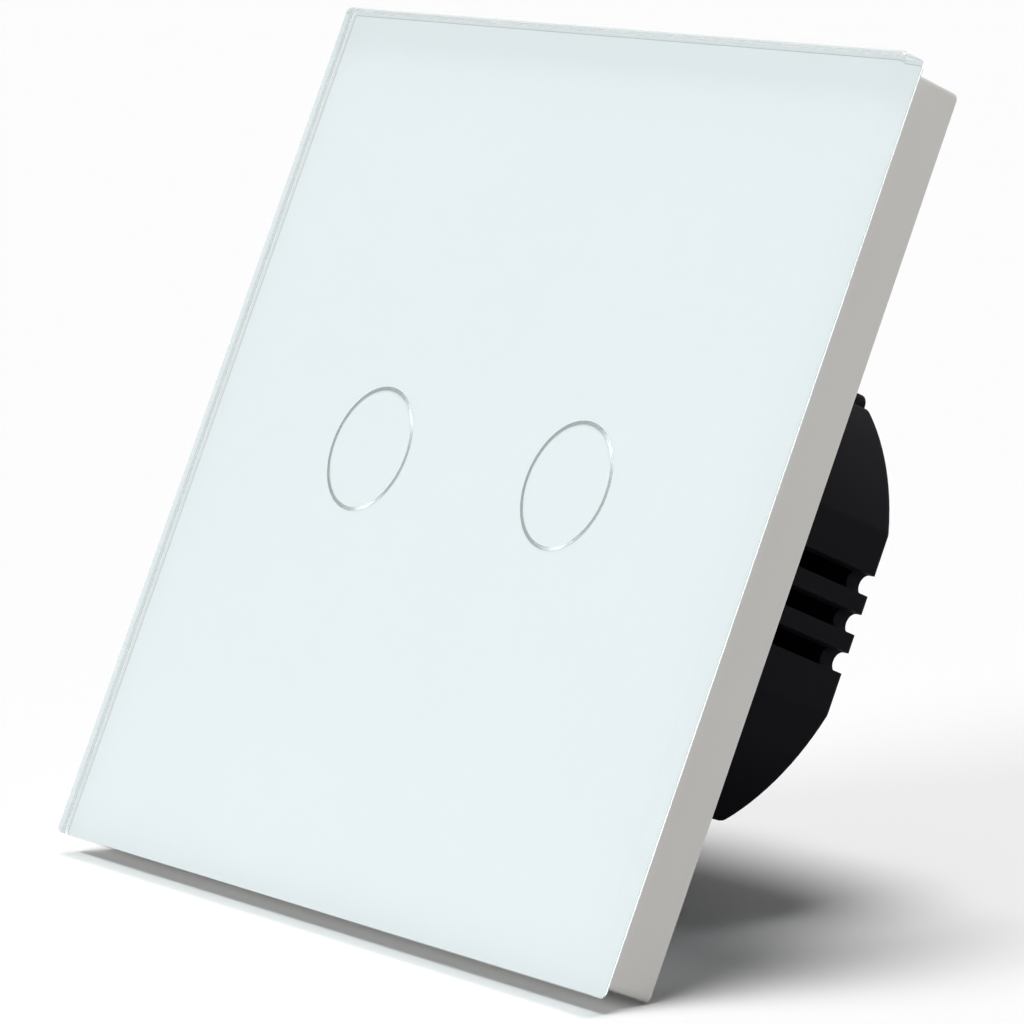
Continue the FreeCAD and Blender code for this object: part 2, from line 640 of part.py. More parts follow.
def mounting_plate():
    plate = slab("plate", "plate_size", "plate_size", "plate_corner", "-plate_thick", "plate_thick")
    slots = sketch(plate, "slot_outlines", "-plate_thick")
    for side in BOTH:
        draw_slot(slots, "slot_length", "slot_width", f"{side} * screw_spacing / 2", str(side + 2))
    pocket(plate, slots, "slots", "plate_thick")
    window = sketch(plate, "plate_window_outline", "-plate_thick")
    draw_rectangle(window, "plate_window", "plate_window", "plate_window_corner")
    pocket(plate, window, "plate_opening", "plate_thick")
    holes = [("screw_radius + screw_clear", x, z) for x, z in screw_places()]
    holes += [("post_radius + screw_play", x, z) for x, z in post_places()]
    drill(plate, "plate_holes", holes, "-plate_thick", "plate_thick")
    lips = [block(f"lip_{rise + 2}", "plate_size - 2 * plate_corner", "lip_tall", "lip_thick",
                  "0", "lip_front", f"{rise} * (plate_size - lip_thick) / 2") for rise in BOTH]
    keep(join("plate_with_lips", plate, *lips), "mounting_plate")


# Touch board with its controller and posts
def touch_board():
    board = slab("touch_pcb", "touch_board_wide", "touch_board_high", "touch_board_corner",
                 "board_front", "board_thick")
    drill(board, "touch_holes", [("post_radius + screw_play", x, z) for x, z in post_places()],
          "board_front", "board_thick")
    keep(board, "touch_board")
    keep(block("touch_chip", "chip_size", "chip_thick", "chip_size", "0", "board_front - chip_thick"),
         "touch_controller")
    posts = []
    for number, (x, z) in enumerate(post_places()):
        pin = rod(f"post_pin_{number}", "post_radius", "-(board_front) - post_short", x, "board_front", z)
        shoulder = rod(f"post_shoulder_{number}", "post_shoulder", "board_lift", x, "board_back", z)
        head = rod(f"post_head_{number}", "post_head", "post_head_tall",
                   x, "board_front - post_head_tall", z)
        posts.append(join(f"post_{number}", pin, shoulder, head))
    keep(group("posts", *posts), "board_posts")


# A key's electrode spring, lamp and light guide
def touch_key(side, word):
    x = f"{side} * ring_x"
    lamp = block("lamp_case_" + word, "lamp_size", "lamp_tall", "lamp_size", x, "board_front - lamp_tall")
    keep(lamp, f"{word}_lamp")
    outer = rod("guide_outer_" + word, "guide_radius", "guide_long", x, "guide_front")
    bore = rod("guide_bore_" + word, "guide_bore", "guide_long", x, "guide_front")
    keep(carve("guide_" + word, outer, bore), f"{word}_light_guide")

    wire = size_of("wire_radius")
    height = size_of("spring_long")
    radius = size_of("spring_radius")
    helix = Part.makeHelix(height / size_of("spring_turns"), height, radius)
    corners = [Vector(radius, 0, 0) + Rotation(Vector(0, 1, 0), n * 360 / WIRE_SIDES) * Vector(wire, 0, 0)
               for n in range(WIRE_SIDES + 1)]
    spring = doc.addObject("Part::Feature", "spring_" + word)
    spring.Shape = Part.Wire(helix).makePipeShell([Part.makePolygon(corners)], True, True)
    put(spring, x, "board_front - wire_radius", "0", Rotation(Vector(1, 0, 0), 90))
    keep(spring, f"{word}_touch_spring")


# Header on the touch board's back and its socket on the power board
def board_connector():
    case = block("header_case", "header_wide", "header_deep", "header_high", "0", "board_back")
    pins = [block(f"header_pin_{n}", "pin_size", "pin_long", "pin_size",
                  f"{n - (HEADER_PINS - 1) / 2} * pin_pitch", "header_rear") for n in range(HEADER_PINS)]
    keep(join("header", case, *pins), "board_header")
    shell = block("socket_case", "header_wide", "power_board_at - header_rear", "header_high",
                  "0", "header_rear")
    slot = block("socket_slot", "header_wide - 2 * socket_wall", "pin_long + pin_play",
                 "pin_size + 2 * pin_play", "0", "header_rear")
    keep(carve("socket", shell, slot), "board_socket")


# Rear housing: a round cup with four flats, vents, bosses, ledges, lugs and terminal holes
def housing_form(name, inset, front, deep):
    """A round bar cut flat at its sides, top and bottom, an inset inside the housing's outline."""
    bar = rod(name + "_bar", f"housing_radius - ({inset})", deep, "0", front, "housing_z")
    flats = block(name + "_flats", f"2 * (housing_side - ({inset}))", deep,
                  f"housing_top + housing_base - 2 * ({inset})", "0", front,
                  "housing_z + (housing_top - housing_base) / 2")
    return common(name, bar, flats)


def pole_x(number):
    return f"{number - (POLES - 1) / 2} * pole_pitch"


def housing_shell():
    outer = housing_form("housing_outer", "0", "0", "housing_depth")
    rear = size_of("housing_depth")
    outer = soften("housing_shoulders", outer, "shoulder_round", lambda box: box.YLength > rear / 2)
    outer = soften("housing_rounded", outer, "housing_edge", lambda box: box.YMin > rear - NEAR)
    return carve("cup", outer, housing_form("cavity", "housing_wall", "0", "rear_wall"))


def housing_fittings():
    inside = housing_form("inside", "housing_wall - wall_bite", "0", "rear_wall")
    bosses = [rod(f"boss_{n}", "boss_radius", "boss_long", x, "0", z)
              for n, (x, z) in enumerate(screw_places())]
    ledges = [block(f"ledge_{side + 2}", "2 * ledge_size", "ledge_deep", "ledge_high",
                    f"{side} * cavity_side", "power_board_back", "housing_z") for side in BOTH]
    return common("fittings", inside, group("fitting_pieces", *bosses, *ledges))


def housing_lugs():
    crest = size_of("housing_z + housing_top + lug_tall")
    lugs = []
    for side in BOTH:
        lug = block(f"lug_{side + 2}", "lug_wide", "lug_long", "2 * lug_tall",
                    f"{side} * lug_x", "housing_depth - lug_long", "housing_z + housing_top")
        lugs.append(soften(f"lug_round_{side + 2}", lug, "lug_round",
                           lambda box: box.ZMin > crest - NEAR and box.YLength > NEAR))
    return lugs


def shallow_fields():
    fields = []
    strip_high = "2 * (terminal_head + strip_margin)"
    for name, wide, high, z in (("label", "label_wide", "label_high", "housing_z + label_up"),
                                ("strip", "block_wide", strip_high, "cage_z")):
        field = block(name + "_field", wide, "label_deep + overcut", high, "0", "housing_depth - label_deep", z)
        fields.append(soften(name + "_round", field, "field_corner", lambda box: box.YLength > NEAR))
    return fields


def vent_cuts():
    cuts = []
    long = "housing_depth - vent_start + overcut"
    start = size_of("vent_start")
    for side in BOTH:
        for number in range(VENTS):
            up = f"housing_z + {number - (VENTS - 1) / 2} * vent_pitch"
            tag = f"{side + 2}_{number}"
            middle = f"{side} * (housing_side - vent_reach + vent_tall / 2)"
            cuts.append(rod("vent_end_" + tag, "vent_tall / 2", f"{long} - vent_corner",
                            middle, "vent_start + vent_corner", up))
            slot = block("vent_side_" + tag, "2 * vent_reach - vent_tall", long, "vent_tall",
                         f"{side} * housing_side", "vent_start", up)
            cuts.append(soften("vent_round_" + tag, slot, "vent_corner",
                               lambda box: box.XLength > NEAR and box.YMax < start + NEAR))
    return cuts


def terminal_holes():
    cuts = []
    for number in range(POLES):
        x = pole_x(number)
        cuts.append(rod(f"driver_hole_{number}", "terminal_head + head_play", "housing_wall + 2 * overcut",
                        x, "rear_wall - overcut", "cage_z"))
        cuts.append(rod(f"wire_hole_{number}", "wire_entry + wire_play", "housing_wall + 2 * overcut",
                        x, "wire_y", "housing_z - housing_base - overcut", "z"))
    return cuts


def rear_housing():
    holes = [rod(f"boss_hole_{n}", "screw_radius + screw_play", "screw_long + hole_spare", x, "0", z)
             for n, (x, z) in enumerate(screw_places())]
    solid = join("housing_solid", housing_shell(), housing_fittings(), *housing_lugs())
    cuts = holes + shallow_fields() + vent_cuts() + terminal_holes()
    keep(carve("housing", solid, *cuts), "rear_housing")


def housing_screws():
    screws = []
    head_front = "-plate_thick - screw_head_tall"
    for number, (x, z) in enumerate(screw_places()):
        thread = rod(f"screw_thread_{number}", "screw_radius", "screw_long", x, "-plate_thick", z)
        head = rod(f"screw_head_{number}", "screw_head", "screw_head_tall", x, head_front, z)
        cross = [block(f"cross_{number}_{n}", wide, "cross_deep", high, x, head_front, z)
                 for n, (wide, high) in enumerate((("cross_long", "cross_wide"), ("cross_wide", "cross_long")))]
        screws.append(carve(f"screw_{number}", join(f"screw_blank_{number}", thread, head), *cross))
    keep(group("screws", *screws), "housing_screws")


# Power board, cut clear of the screw bosses, with its controller
def power_board():
    form = housing_form("power_form", "housing_wall + board_play", "power_board_at", "power_board_thick")
    notches = [rod(f"notch_{n}", "boss_radius + board_play", "power_board_thick + 2 * overcut",
                   x, "power_board_at - overcut", z) for n, (x, z) in enumerate(screw_places())]
    keep(carve("power_pcb", form, *notches), "power_board")
    keep(block("power_chip", "chip_size", "chip_thick", "chip_size", "-power_chip_x",
               "power_board_at - chip_thick", "housing_z"), "power_controller")


# Terminal block with its cages, clamps and screws
def terminal_block():
    shell = block("block_shell", "block_wide", "block_rear - power_board_back", "block_high",
                  "0", "power_board_back", "(block_top + block_bottom) / 2")
    pocket_base = "cage_base - cage_play"
    pocket_top = "block_top + overcut"
    cuts = []
    for number in range(POLES):
        x = pole_x(number)
        cuts.append(block(f"cage_pocket_{number}", "cage_wide + 2 * cage_play", "cage_deep + 2 * cage_play",
                          f"{pocket_top} - ({pocket_base})", x, "cage_front - cage_play",
                          f"({pocket_top} + {pocket_base}) / 2"))
        cuts.append(rod(f"head_bore_{number}", "terminal_head + head_play", "block_rear - cage_rear + overcut",
                        x, "cage_rear", "cage_z"))
        cuts.append(rod(f"wire_bore_{number}", "wire_entry", "cage_base - block_bottom + 2 * overcut",
                        x, "wire_y", "block_bottom - overcut", "z"))
    keep(carve("terminals", shell, *cuts), "terminal_block")


def terminal(number):
    x = pole_x(number)
    outer = block(f"cage_outer_{number}", "cage_wide", "cage_deep", "cage_high", x, "cage_front", "cage_z")
    inner = block(f"cage_inner_{number}", "cage_inside", "nut_front - cage_front - cage_wall",
                  "cage_high + 2 * overcut", x, "cage_front + cage_wall", "cage_z")
    nut = rod(f"cage_thread_{number}", "terminal_screw + terminal_play", "cage_nut + 2 * overcut",
              x, "nut_front - overcut", "cage_z")
    keep(carve(f"cage_{number}", outer, inner, nut), f"terminal_cage_{number + 1}")

    clamp = block(f"clamp_blank_{number}", "cage_inside - 2 * clamp_play", "clamp_thick",
                  "cage_high - 2 * clamp_short", x, "clamp_front", "cage_z")
    seat = rod(f"clamp_seat_{number}", "terminal_screw + terminal_play", "clamp_seat",
               x, "clamp_rear - clamp_seat", "cage_z")
    keep(carve(f"clamp_{number}", clamp, seat), f"wire_clamp_{number + 1}")

    thread = rod(f"thread_{number}", "terminal_screw", "head_front - (screw_tip)", x, "screw_tip", "cage_z")
    head = rod(f"head_{number}", "terminal_head", "terminal_head_tall", x, "head_front", "cage_z")
    slot = block(f"slot_{number}", "2 * (terminal_head + overcut)", "driver_slot_deep + overcut", "driver_slot",
                 x, "head_rear - driver_slot_deep", "cage_z")
    keep(carve(f"terminal_screw_{number}", join(f"terminal_blank_{number}", thread, head), slot),
         f"terminal_screw_{number + 1}")


# Relay: base and cover, then frame with its core, coil, armature with its leaf, and fixed contact
def relay_case(x, tag):
    keep(block("base" + tag, "relay_wide", "relay_base_thick", "relay_high",
               x, "power_board_back", "relay_z"), "relay_base" + tag)
    rear = size_of("relay_rear")
    cover = block("cover_outer" + tag, "relay_wide", "relay_rear - relay_floor", "relay_high",
                  x, "relay_floor", "relay_z")
    cover = soften("cover_round" + tag, cover, "relay_round", lambda box: box.YMin > rear - NEAR)
    inner = block("cover_inner" + tag, "relay_wide - 2 * relay_wall", "relay_ceiling - relay_floor",
                  "relay_high - 2 * relay_wall", x, "relay_floor", "relay_z")
    keep(carve("cover" + tag, cover, inner), "relay_cover" + tag)


def relay_magnet(x, tag):
    back = block("yoke_back" + tag, "yoke_wide", "armature_front - yoke_short - relay_floor", "yoke_thick",
                 x, "relay_floor", "yoke_z")
    foot = block("yoke_foot" + tag, "yoke_wide", "yoke_thick", "yoke_foot_long",
                 x, "relay_floor", "yoke_z + yoke_foot_long / 2")
    core = rod("core" + tag, "core_radius", "core_rear - relay_floor", x, "relay_floor", "coil_z")
    pole = rod("pole" + tag, "core_radius + pole_rim", "pole_thick", x, "coil_rear", "coil_z")
    keep(join("yoke" + tag, back, foot, core, pole), "relay_frame" + tag)

    winding = rod("winding" + tag, "coil_radius - coil_rim", "coil_rear - coil_front",
                  x, "coil_front", "coil_z")
    ends = [rod(f"flange{tag}_{n}", "coil_radius", "flange_thick", x, y, "coil_z")
            for n, y in enumerate(("coil_front", "coil_rear - flange_thick"))]
    bore = rod("coil_bore" + tag, "core_radius", "coil_rear - coil_front + 2 * overcut",
               x, "coil_front - overcut", "coil_z")
    keep(carve("coil" + tag, join("coil_blank" + tag, winding, *ends), bore), "relay_coil" + tag)


def relay_contacts(x, tag):
    flap = block("flap" + tag, "yoke_wide - 2 * armature_in", "armature_thick", "armature_long",
                 x, "armature_front", "yoke_z - yoke_thick / 2 + armature_long / 2")
    leaf = block("leaf" + tag, "leaf_wide", "leaf_thick", "leaf_long",
                 x, "armature_rear", "yoke_z + leaf_long / 2")
    rivet = rod("rivet" + tag, "contact_radius", "contact_tall + armature_thick",
                x, "armature_front - contact_tall", "contact_z")
    keep(join("armature" + tag, flap, leaf, rivet), "relay_armature" + tag)

    post = block("contact_post" + tag, "contact_post_wide",
                 "button_rear - button_tall + button_bite - relay_floor", "contact_post_thick",
                 x, "relay_floor", "contact_z")
    button = rod("contact_button" + tag, "contact_radius", "button_tall",
                 x, "button_rear - button_tall", "contact_z")
    keep(join("contact" + tag, post, button), "relay_contact" + tag)


def relay(number):
    x = f"(-(cavity_side) + relay_margin + relay_wide / 2 + {number} * (relay_wide + relay_gap))"
    tag = f"_{number + 1}"
    relay_case(x, tag)
    relay_magnet(x, tag)
    relay_contacts(x, tag)


# The other parts of the power board
def capacitors():
    can_rear = size_of("power_board_back + can_tall")
    can = rod("can_body", "can_radius", "can_tall", "can_x", "power_board_back", "can_z")
    keep(soften("can", can, "can_round", lambda box: box.YMin > can_rear - NEAR), "smoothing_capacitor")
    film_rear = size_of("power_board_back + film_tall")
    film = block("film_case", "film_wide", "film_tall", "film_high", "film_x", "power_board_back",
                 "housing_z - film_down")
    keep(soften("film", film, "can_round", lambda box: box.YMin > film_rear - NEAR), "filter_capacitor")


def choke():
    core = rod("choke_rod", "choke_core_radius", "choke_length", "choke_x", "power_board_back", "choke_z")
    ends = [rod(f"choke_flange_{n}", "choke_radius", "choke_flange", "choke_x", y, "choke_z")
            for n, y in enumerate(("power_board_back", "choke_coil_front + choke_coil_long"))]
    keep(join("choke", core, *ends), "choke_core")
    turns, hole = [rod(name, radius, "choke_coil_long", "choke_x", "choke_coil_front", "choke_z")
                   for name, radius in (("choke_turns", "choke_radius - choke_rim"),
                                        ("choke_hole", "choke_core_radius"))]
    keep(carve("choke_coil", turns, hole), "choke_winding")


def fuse_and_varistor():
    tube = rod("fuse_tube", "fuse_radius - fuse_cap_thick", "fuse_long",
               "-fuse_long / 2", "fuse_y", "fuse_z", "x")
    caps = [rod(f"fuse_cap_{n}", "fuse_radius", "fuse_cap_long", x, "fuse_y", "fuse_z", "x")
            for n, x in enumerate(("-fuse_long / 2", "fuse_long / 2 - fuse_cap_long"))]
    keep(join("fuse_whole", tube, *caps), "fuse")
    keep(rod("varistor_disc", "varistor_radius", "varistor_thick", "varistor_x",
             "power_board_back + varistor_radius", "varistor_z", "x"), "varistor")


glass_panel()
back_print()
ring_marks()
adhesive_tape()
front_frame()
mounting_plate()
touch_board()
for side, word in zip(BOTH, ("left", "right")):
    touch_key(side, word)
board_connector()
rear_housing()
housing_screws()
power_board()
terminal_block()
for number in range(POLES):
    terminal(number)
for number in range(RELAYS):
    relay(number)
capacitors()
choke()
fuse_and_varistor()
doc.recompute()

for thing in doc.Objects:
    for fault in ("Invalid", "Error"):
        if fault in thing.State:
            raise RuntimeError(f"{thing.Name} is {fault}")
for thing in kept:
    if thing.Shape.isNull() or not thing.Shape.isValid():
        raise RuntimeError(f"{thing.Label} has no valid shape")
os.makedirs("parts", exist_ok=True)
for thing in kept:
    thing.Shape.exportStep(f"parts/{thing.Label}.step")
print(len(kept), "sub-parts written")
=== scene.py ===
import json
import math

import bmesh
import bpy
from mathutils import Matrix, Vector


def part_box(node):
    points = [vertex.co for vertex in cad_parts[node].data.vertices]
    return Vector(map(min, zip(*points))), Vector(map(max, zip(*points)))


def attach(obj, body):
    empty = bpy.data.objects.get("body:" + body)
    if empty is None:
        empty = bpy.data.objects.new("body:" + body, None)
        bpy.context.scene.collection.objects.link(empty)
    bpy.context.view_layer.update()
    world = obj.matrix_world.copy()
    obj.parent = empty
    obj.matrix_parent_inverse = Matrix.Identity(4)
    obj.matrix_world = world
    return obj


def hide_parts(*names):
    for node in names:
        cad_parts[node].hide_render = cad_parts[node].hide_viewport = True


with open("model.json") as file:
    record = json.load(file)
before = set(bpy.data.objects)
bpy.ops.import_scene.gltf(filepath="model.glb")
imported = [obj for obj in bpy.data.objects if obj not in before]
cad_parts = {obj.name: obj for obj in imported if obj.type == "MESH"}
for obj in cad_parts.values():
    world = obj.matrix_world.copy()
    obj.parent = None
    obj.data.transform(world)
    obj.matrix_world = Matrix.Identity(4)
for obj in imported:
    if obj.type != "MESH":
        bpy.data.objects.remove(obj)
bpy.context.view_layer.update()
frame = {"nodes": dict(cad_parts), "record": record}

MM = 0.001

# Camera, found from the photograph, in the part's own frame
LENS = 200.8
SENSOR = 36
EYE = Vector((0.424081, -0.311606, -0.056619))
RIGHT = Vector((0.58617, 0.74176, 0.32588))
UP = Vector((-0.11537, -0.32170, 0.93979))
BACK = RIGHT.cross(UP)

# The floor meets the frame's lower rear edge
FLOOR_POINT = Vector((0, 0, -41.95 * MM))
FLOOR_NORMAL = Vector((0, -0.4022, 0.9155))
FLOOR_SIZE = 12

# Levels of the studio's white surround, where it is seen or mirrored and where it lights
SURROUND_SEEN = 1.0
SURROUND_LIGHT = 0.01

# Whiteness of the floor as the camera sees it, and as it lights the part
FLOOR_SEEN = 1.0
FLOOR_BOUNCE = 0.8

# Front panel
PANE_CORNER = 0.5 * MM
PANE_BEVEL = 0.25 * MM
PRINT_SINK = 0.03 * MM
PRINT_HALF = 42.4 * MM
# Width of the fine line of painted shade at the print's edge, which stands for the gap's
# shadow
PRINT_SHADE_LINE = 0.08 * MM
COAT_INSET = 0.25 * MM
GROUND_EDGE = 0.2 * MM
CORNER_STEPS = 6
RING_RADII = (5.82 * MM, 5.94 * MM, 6.06 * MM, 6.18 * MM)
RING_HEIGHTS = (0.055 * MM, 0.0467 * MM, 0.0383 * MM, 0.03 * MM)
RING_STEPS = 120

# The Y of a pane face's normal, below which it is a side and above which a broad face
SIDE_LOOK = 0.5
BROAD_LOOK = 0.9

# Touch springs
WIRE = 0.2 * MM
WIRE_SIDES = 12
END_TURNS = 0.75
END_PITCH = 0.42 * MM
OPEN_TURNS = 1.5
STEPS_PER_TURN = 40

# Small parts on the boards, in millimetres
LEG_WIDE = 0.28
LEG_THICK = 0.14
LEG_SHOULDER = 0.3
LEG_FOOT = 0.6
LEG_PITCH = 0.65
LEGS_A_SIDE = 8
SMALL_PARTS = 7
SMALL_PART_PITCH = 2.4
SMALL_PART_ROW = 10.5
SMALL_PART_STAGGER = 1.8
SMALL_PART_BODY = (0.8, 0.48, 0.86)
SMALL_PART_END = (0.4, 0.5, 0.9)
SMALL_PART_REACH = 0.55
TRACK_HIGH = 0.05
TRACK_WIDE = 0.28
SPRING_TRACKS = 3
SPRING_TRACK_PITCH = 0.9
SPRING_TRACK_LONG = 3.8
SPRING_TRACK_MIDDLE = 5.6
ROW_TRACK_START = 4.8
ROW_TRACK_FAN = 0.3

# Tolerances, for a place on a plane and for a direction along an axis
NEAR = 0.001 * MM
ALONG = 0.9


class Value:
    """An output socket of a finish. Sums and products of it add Math nodes."""

    def __init__(self, finish, socket):
        self.finish = finish
        self.socket = socket

    def maths(self, operation, *others):
        return self.finish.node(
            "ShaderNodeMath", {"operation": operation}, dict(enumerate((self, *others)))
        )

    def __add__(self, other):
        return self.maths("ADD", other)

    def __sub__(self, other):
        return self.maths("SUBTRACT", other)

    def __mul__(self, other):
        return self.maths("MULTIPLY", other)


class Finish:
    """A material and the calls that add nodes to it."""

    def __init__(self, name):
        self.material = bpy.data.materials.new(name)
        self.material.use_nodes = True
        self.tree = self.material.node_tree
        self.tree.nodes.clear()

    def node(self, kind, settings=None, inputs=None, output=0):
        made = self.tree.nodes.new(kind)
        for name, value in (settings or {}).items():
            setattr(made, name, value)
        for key, value in (inputs or {}).items():
            if isinstance(value, Value):
                self.tree.links.new(value.socket, made.inputs[key])
            else:
                made.inputs[key].default_value = value
        return Value(self, made.outputs[output]) if made.outputs else None

    def spot(self):
        return self.node("ShaderNodeTexCoord", output="Object")

    def place(self, scale=(1, 1, 1)):
        inputs = {"Vector": self.spot(), "Scale": scale}
        return self.node("ShaderNodeMapping", inputs=inputs)

    def noise(self, size, detail=2.0, rough=0.5, place=None):
        """Soft mottling with features of a size in metres."""
        inputs = {
            "Vector": place or self.place(),
            "Scale": 1 / size,
            "Detail": detail,
            "Roughness": rough,
        }
        return self.node("ShaderNodeTexNoise", inputs=inputs)

    def cells(self, size, output="Distance"):
        inputs = {"Vector": self.place(), "Scale": 1 / size}
        return self.node("ShaderNodeTexVoronoi", inputs=inputs, output=output)

    def bands(self, direction, scale, distortion):
        settings = {"bands_direction": direction}
        inputs = {"Vector": self.place(), "Scale": scale, "Distortion": distortion}
        return self.node("ShaderNodeTexWave", settings, inputs)

    def mix(self, share, first, second):
        settings = {"data_type": "RGBA"}
        return self.node("ShaderNodeMix", settings, {0: share, 6: first, 7: second}, 2)

    def bump(self, height, depth, strength):
        inputs = {"Height": height, "Distance": depth, "Strength": strength}
        return self.node("ShaderNodeBump", inputs=inputs)

    def principled(self, **sockets):
        inputs = {name.replace("_", " "): value for name, value in sockets.items()}
        return self.node("ShaderNodeBsdfPrincipled", inputs=inputs)

    def show(self, shader):
        self.node("ShaderNodeOutputMaterial", inputs={"Surface": shader})
        return self.material


def screen(red, green, blue):
    """A colour as a screen shows it, from 0 to 255, in the renderer's linear form."""

    def linear(level):
        level /= 255
        return level / 12.92 if level <= 0.04045 else ((level + 0.055) / 1.055) ** 2.4

    return (linear(red), linear(green), linear(blue), 1.0)


def grey(level):
    return (level, level, level, 1)


# Finishes of the front panel

RIM_PASSED = screen(214, 218, 218)


def glass_finish(name, waviness, passed, ground=0.0):
    """Glass that lamps and soft light pass in one tint, as if it weren't there."""
    glass = Finish(name)
    smear = glass.noise(14 * MM, 4, 0.6)
    wave = glass.noise(30 * MM, 1, 0.4)
    body = glass.principled(
        Base_Color=screen(244, 249, 249),
        Roughness=smear * 0.012 + 0.004 + ground,
        IOR=1.52,
        Transmission_Weight=1.0,
        Normal=glass.bump(wave, 0.02 * MM, waviness),
    )
    open_way = glass.node("ShaderNodeBsdfTransparent", inputs={"Color": passed})
    for ray in ("Is Shadow Ray", "Is Diffuse Ray"):
        met = glass.node("ShaderNodeLightPath", output=ray)
        body = glass.node("ShaderNodeMixShader", inputs={0: met, 1: body, 2: open_way})
    return glass.show(body)


def clear_glass():
    return glass_finish("clear_glass", 0.05, screen(250, 254, 254))


def glass_rim():
    """The polished sides, which shade the print a little."""
    return glass_finish("glass_rim", 0.0, RIM_PASSED)


def ground_glass():
    """The ground rear edge, a bright line from the front."""
    return glass_finish("ground_glass", 0.0, RIM_PASSED, ground=0.5)


def white_print():
    """White, and a thinner coat beyond a fine line of painted shade, the gap's shadow, at
    the sides and the top.
    """
    paint = Finish("white_print")
    cloud = paint.noise(22 * MM, 3, 0.5)
    grain = paint.noise(0.25 * MM, 3, 0.6)
    across, up = (
        paint.node("ShaderNodeSeparateXYZ", inputs={"Vector": paint.spot()}, output=axis)
        for axis in ("X", "Z")
    )
    out = across.maths("ABSOLUTE").maths("MAXIMUM", up)
    past = out.maths("GREATER_THAN", PRINT_HALF)
    # A fine line of painted shade at the print's edge, for the gap's shadow there, at the
    # sides and the top only
    line = past - out.maths("GREATER_THAN", PRINT_HALF + PRINT_SHADE_LINE)
    coat = paint.mix(cloud, screen(238, 242, 244), screen(240, 244, 246))
    thin = paint.mix(past, coat, screen(230, 235, 236))
    return paint.show(
        paint.principled(
            # The grey of the painted gap shadow
            Base_Color=paint.mix(line, thin, screen(186, 191, 192)),
            Roughness=grain * 0.1 + 0.5,
            Normal=paint.bump(grain, 0.004 * MM, 0.5),
        )
    )


def ring_ink():
    ink = Finish("ring_ink")
    fleck = ink.noise(0.2 * MM, 3, 0.7)
    drift = ink.noise(5 * MM, 2, 0.5)
    return ink.show(
        ink.principled(
            Base_Color=ink.mix(drift, screen(158, 163, 165), screen(170, 175, 177)),
            Metallic=0.9,
            Roughness=fleck * 0.04 + 0.12,
            Normal=ink.bump(fleck, 0.0015 * MM, 0.4),
        )
    )


def foam_tape():
    foam = Finish("foam_tape")
    pores = foam.cells(0.35 * MM)
    shade = foam.noise(4 * MM, 2, 0.5)
    return foam.show(
        foam.principled(
            Base_Color=foam.mix(shade, screen(176, 176, 172), screen(192, 191, 187)),
            Roughness=pores * 0.1 + 0.8,
            Normal=foam.bump(pores, 0.08 * MM, 0.5),
        )
    )


def frame_plastic():
    shell = Finish("frame_plastic")
    grain = shell.noise(0.12 * MM, 3, 0.6)
    cloud = shell.noise(18 * MM, 3, 0.5)
    return shell.show(
        shell.principled(
            Base_Color=shell.mix(cloud, screen(206, 204, 199), screen(211, 209, 204)),
            Roughness=grain * 0.12 + 0.36,
            Normal=shell.bump(grain, 0.006 * MM, 0.5),
        )
    )


# Finishes of the base and what it carries


def black_plastic():
    shell = Finish("black_plastic")
    grain = shell.noise(0.16 * MM, 4, 0.65)
    cloud = shell.noise(9 * MM, 3, 0.55)
    return shell.show(
        shell.principled(
            Base_Color=shell.mix(cloud, screen(22, 22, 26), screen(28, 28, 32)),
            Roughness=grain * 0.16 + cloud * 0.06 + 0.5,
            Specular_IOR_Level=0.02,
            Normal=shell.bump(grain, 0.012 * MM, 0.6),
        )
    )


def plate_steel():
    zinc = Finish("plate_steel")
    spangle = zinc.cells(2.2 * MM, "Color")
    facet = zinc.node("ShaderNodeSeparateColor", inputs={"Color": spangle})
    rolled = zinc.noise(0.3 * MM, 3, 0.6, zinc.place((1, 1, 0.06)))
    return zinc.show(
        zinc.principled(
            Base_Color=zinc.mix(facet, screen(182, 185, 187), screen(194, 196, 197)),
            Metallic=0.95,
            Roughness=facet * 0.06 + rolled * 0.14 + 0.3,
            Normal=zinc.bump(rolled, 0.006 * MM, 0.5),
        )
    )


def metal(name, dark, light, roughness):
    """A plated or bare metal piece with fine scratches along it."""
    plating = Finish(name)
    scratch = plating.noise(0.15 * MM, 3, 0.65, plating.place((1, 1, 0.15)))
    drift = plating.noise(2 * MM, 3, 0.55)
    return plating.show(
        plating.principled(
            Base_Color=plating.mix(drift, screen(*dark), screen(*light)),
            Metallic=1.0,
            Roughness=scratch * 0.15 + roughness,
            Normal=plating.bump(scratch, 0.006 * MM, 0.5),
        )
    )


def moulding(name, dark, light, roughness, grain_size=0.12, depth=0.008):
    """A moulded or coated piece: two near colours that drift, and a fine grain."""
    mass = Finish(name)
    grain = mass.noise(grain_size * MM, 3, 0.6)
    drift = mass.noise(3 * MM, 3, 0.55)
    return mass.show(
        mass.principled(
            Base_Color=mass.mix(drift, screen(*dark), screen(*light)),
            Roughness=grain * 0.15 + roughness,
            Normal=mass.bump(grain, depth * MM, 0.5),
        )
    )


def circuit_board():
    board = Finish("circuit_board")
    weave = board.bands("X", 300, 0.6) + board.bands("Z", 300, 0.6)
    drift = board.noise(6 * MM, 3, 0.55)
    return board.show(
        board.principled(
            Base_Color=board.mix(drift, screen(20, 74, 46), screen(28, 92, 56)),
            Roughness=drift * 0.1 + 0.28,
            Normal=board.bump(weave, 0.004 * MM, 0.4),
        )
    )


def coil_copper():
    copper = Finish("coil_copper")
    turns = copper.bands("Y", 2100, 0.2)
    drift = copper.noise(1.5 * MM, 2, 0.5)
    return copper.show(
        copper.principled(
            Base_Color=copper.mix(drift, screen(158, 74, 34), screen(190, 98, 48)),
            Metallic=0.85,
            Roughness=drift * 0.1 + 0.25,
            Normal=copper.bump(turns, 0.03 * MM, 0.7),
        )
    )


